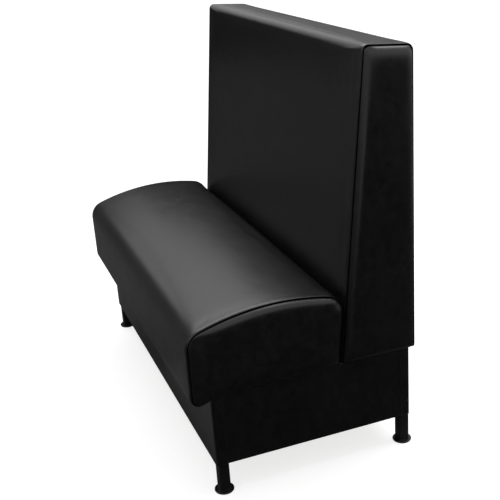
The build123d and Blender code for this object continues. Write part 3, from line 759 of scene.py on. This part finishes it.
def woodBoard(look, name):
    # growth rings are bands of a stretched noise; plies are thin alternate layers in z
    f = Finish(bpy.data.materials.new(name))
    board = look[name]
    at = f.stretched(board["stretch"])
    rings = (f.noise(*look["figure"], at) * look["rings"]).fraction()
    pores = f.noise(*look["pores"], at)
    share = (rings * look["ringShare"] + pores * look["poreShare"]).clamped()
    colour = f.between(share, board["early"], board["late"])
    if "plies" in board:
        layer = f.node("ShaderNodeTexWave", {"bands_direction": "Z"}, {
            "Vector": f.place(), "Scale": board["plies"], "Distortion": look["plyWobble"]})
        shade = tuple(part * look["plyShade"] for part in board["late"][:3]) + (1,)
        colour = f.between(layer * look["plyShare"], colour, shade)
    least, more = look["roughness"]
    return f.finishWith(f.principled(
        Base_Color=colour, Roughness=least + pores * more, Normal=f.bump(share, look["grainDepth"])))


foamLook = {
    "dark": (0.72, 0.66, 0.47, 1), "light": (0.82, 0.77, 0.60, 1), "roughness": 0.9,
    "cells": 650.0, "cellDepth": 0.0004, "blotch": (14.0, 3.0, 0.5),
}


def foamCells(look):
    # open cells, unevenly yellowed
    f = Finish(bpy.data.materials.new("foamCells"))
    colour = f.between(f.noise(*look["blotch"]), look["dark"], look["light"])
    return f.finishWith(f.principled(
        Base_Color=colour, Roughness=look["roughness"], Normal=f.bump(f.cells(look["cells"]), look["cellDepth"])))


finishes = {
    "vinyl": blackVinyl(vinylLook),
    "black_steel": powderCoat(coatLook),
    "zinc_steel": zincPlate(zincLook),
    "black_plastic": mouldedPlastic(plasticLook, "plugPlastic"),
    "nylon": mouldedPlastic(plasticLook, "glideNylon"),
    "plywood": woodBoard(woodLook, "birchPly"),
    "timber": woodBoard(woodLook, "softwood"),
    "hardboard": woodBoard(woodLook, "hardboard"),
    "foam": foamCells(foamLook),
}
for piece in cushions + [baseBandPiece]:
    piece.data.materials.append(finishes["vinyl"])
slotOf = {part["node"]: part["material_slot"] for part in frame["record"]["subparts"]}
for name, node in frame["nodes"].items():
    node.data.materials.clear()
    node.data.materials.append(finishes[slotOf[name]])
print("finishes:", len(finishes))


# floor, lights and camera

stage = {"size": 30.0, "white": (1.0, 1.0, 1.0, 1), "grey": (0.55, 0.55, 0.55, 1), "glow": 0.74, "fill": 0.5}


def flatSheet(x0, y0, x1, y1, z):
    # the corners of a level rectangle
    return [(x0, y0, z), (x1, y0, z), (x1, y1, z), (x0, y1, z)]


def uprightSheet(start, end, low, highs):
    # the corners of an upright sheet over a line on the floor, with a height at each end
    return [(*start, low), (*end, low), (*end, highs[1]), (*start, highs[0])]


def addSheet(name, corners, material):
    # one flat quad of the studio
    sheet = newObject(name, np.array(corners, float), np.array([[0, 1, 2, 3]]))
    sheet.data.materials.append(material)
    return sheet


def background(f):
    # 1 for the rays that see the background itself: from the camera, in a reflection or through glass
    rays = f.node("ShaderNodeLightPath", out="Is Camera Ray")
    for kind in ("Is Glossy Ray", "Is Transmission Ray"):
        rays = (rays + f.node("ShaderNodeLightPath", out=kind)).clamped()
    return rays


def paleFloor(values):
    # white where nothing shades it: its own colour under the lamps plus a glow, so that the shadow stays
    f = Finish(bpy.data.materials.new("paleFloor"))
    plain = f.node("ShaderNodeBsdfDiffuse", None, {"Color": values["grey"]})
    bright = f.node("ShaderNodeEmission", None, {"Color": values["white"], "Strength": values["glow"]})
    lit = f.node("ShaderNodeAddShader", None, {0: plain, 1: bright})
    half = values["size"] / 2
    addSheet("floor", flatSheet(-half, -half, half, half, 0), f.finishWith(f.mixed(background(f), plain, lit)))


def paleWorld(values):
    # an even white background, and a softer fill from it on the object
    f = Finish(bpy.data.worlds.new("studio"), "ShaderNodeOutputWorld")
    fill = f.node("ShaderNodeBackground", None, {"Color": values["white"], "Strength": values["fill"]})
    white = f.node("ShaderNodeBackground", None, {"Color": values["white"], "Strength": 1.0})
    bpy.context.scene.world = f.finishWith(f.mixed(background(f), fill, white))


paleFloor(stage)
paleWorld(stage)

# black cards, as set round a glossy black object; only reflections show them
cards = {
    "cardFloor": (0.13, flatSheet(-9, -9, 9, 9, 0.002)),
    "cardFloorFront": (0.27, flatSheet(-0.15, -0.50, 1.0, -0.31, 0.003)),
    "cardFloorSide": (0.035, flatSheet(0.62, -1.2, 6, 6, 0.004)),
    "cardFloorRear": (0.04, flatSheet(-3.0, 0.45, 0.62, 2.0, 0.004)),
    "cardFloorBehind": (0.30, flatSheet(-4.0, 2.0, 0.62, 6, 0.005)),
    "cardLow": (0.03, uprightSheet((-1.2, -0.05), (-1.2, 1.4), 0.3, (0.90, 1.8))),
    "cardLowFront": (0.20, uprightSheet((-1.2, -1.2), (-1.2, -0.05), 0.3, (0.84, 0.84))),
    "cardFar": (0.03, uprightSheet((-4.0, -3.0), (-4.0, 1.4), 0, (1.75, 1.75))),
    "cardFarSide": (0.03, uprightSheet((-4.0, 1.4), (-4.0, 4.0), 0, (1.75, 2.8))),
    "cardFront": (0.38, uprightSheet((-9.0, -3.0), (-0.5, -3.0), 0, (4.0, 4.0))),
    "cardFrontNear": (0.03, uprightSheet((-0.5, -3.0), (6.0, -3.0), 0, (1.2, 1.2))),
    "cardNear": (0.02, uprightSheet((4.5, -6.0), (4.5, 6.0), 0, (1.4, 1.4))),
}


def darkCard(name, shade, corners):
    # a matt sheet that only glossy rays meet
    f = Finish(bpy.data.materials.new(name))
    matt = f.node("ShaderNodeBsdfDiffuse", None, {"Color": (shade, shade, shade, 1)})
    card = addSheet(name, corners, f.finishWith(matt))
    card.visible_camera = card.visible_diffuse = card.visible_transmission = card.visible_shadow = False


for name, (shade, corners) in cards.items():
    darkCard(name, shade, corners)
print("cards:", len(cards))

lamps = {
    "window": {"at": (-5.9, 0.2, 8.5), "aim": (0, 0, 0.45), "size": (7.0, 3.6), "power": 360},
    "overhead": {"at": (0, 1.8, 3.4), "aim": (0, 0, 0.5), "size": (2.4, 2.4), "power": 74},
    "low": {"at": (2.9, -2.6, 0.55), "aim": (0.5, 0.0, 0.9), "size": (0.7, 0.7), "power": 3.2},
}


def softbox(name, values):
    # an area lamp that shines along -z of its own axes: back = at - aim, side level, up across both
    lamp = bpy.data.lights.new(name, "AREA")
    lamp.shape = "RECTANGLE"
    lamp.size, lamp.size_y = values["size"]
    lamp.energy = values["power"]
    made = bpy.data.objects.new(name, lamp)
    at, aim = np.array(values["at"]), np.array(values["aim"])
    back = (at - aim) / np.linalg.norm(at - aim)
    side = np.cross((0, 0, 1), back)
    side /= np.linalg.norm(side)
    axes = np.stack([side, np.cross(back, side), back], 1)
    made.matrix_world = Matrix.Translation(at) @ Matrix(axes.tolist()).to_4x4()
    bpy.context.scene.collection.objects.link(made)


for name, values in lamps.items():
    softbox(name, values)
print("lamps:", len(lamps))

view = {
    "at": (2.3994, -0.7528, 1.3942), "tilt": 1.2046, "turn": 1.2237, "roll": -0.0669,
    "lens": 65.58, "sensor": 36.0, "shiftX": -0.0305, "shiftY": -0.0106,
}
camera = bpy.data.cameras.new("camera")
camera.lens = view["lens"]
camera.sensor_width = view["sensor"]
camera.shift_x = view["shiftX"]
camera.shift_y = view["shiftY"]
eye = bpy.data.objects.new("camera", camera)
eye.matrix_world = (
    Matrix.Translation(view["at"]) @ Matrix.Rotation(view["turn"], 4, "Z")
    @ Matrix.Rotation(view["tilt"], 4, "X") @ Matrix.Rotation(view["roll"], 4, "Z")
)
bpy.context.scene.collection.objects.link(eye)
bpy.context.scene.camera = eye
bpy.context.scene.view_settings.view_transform = "Standard"

print("scene ready")
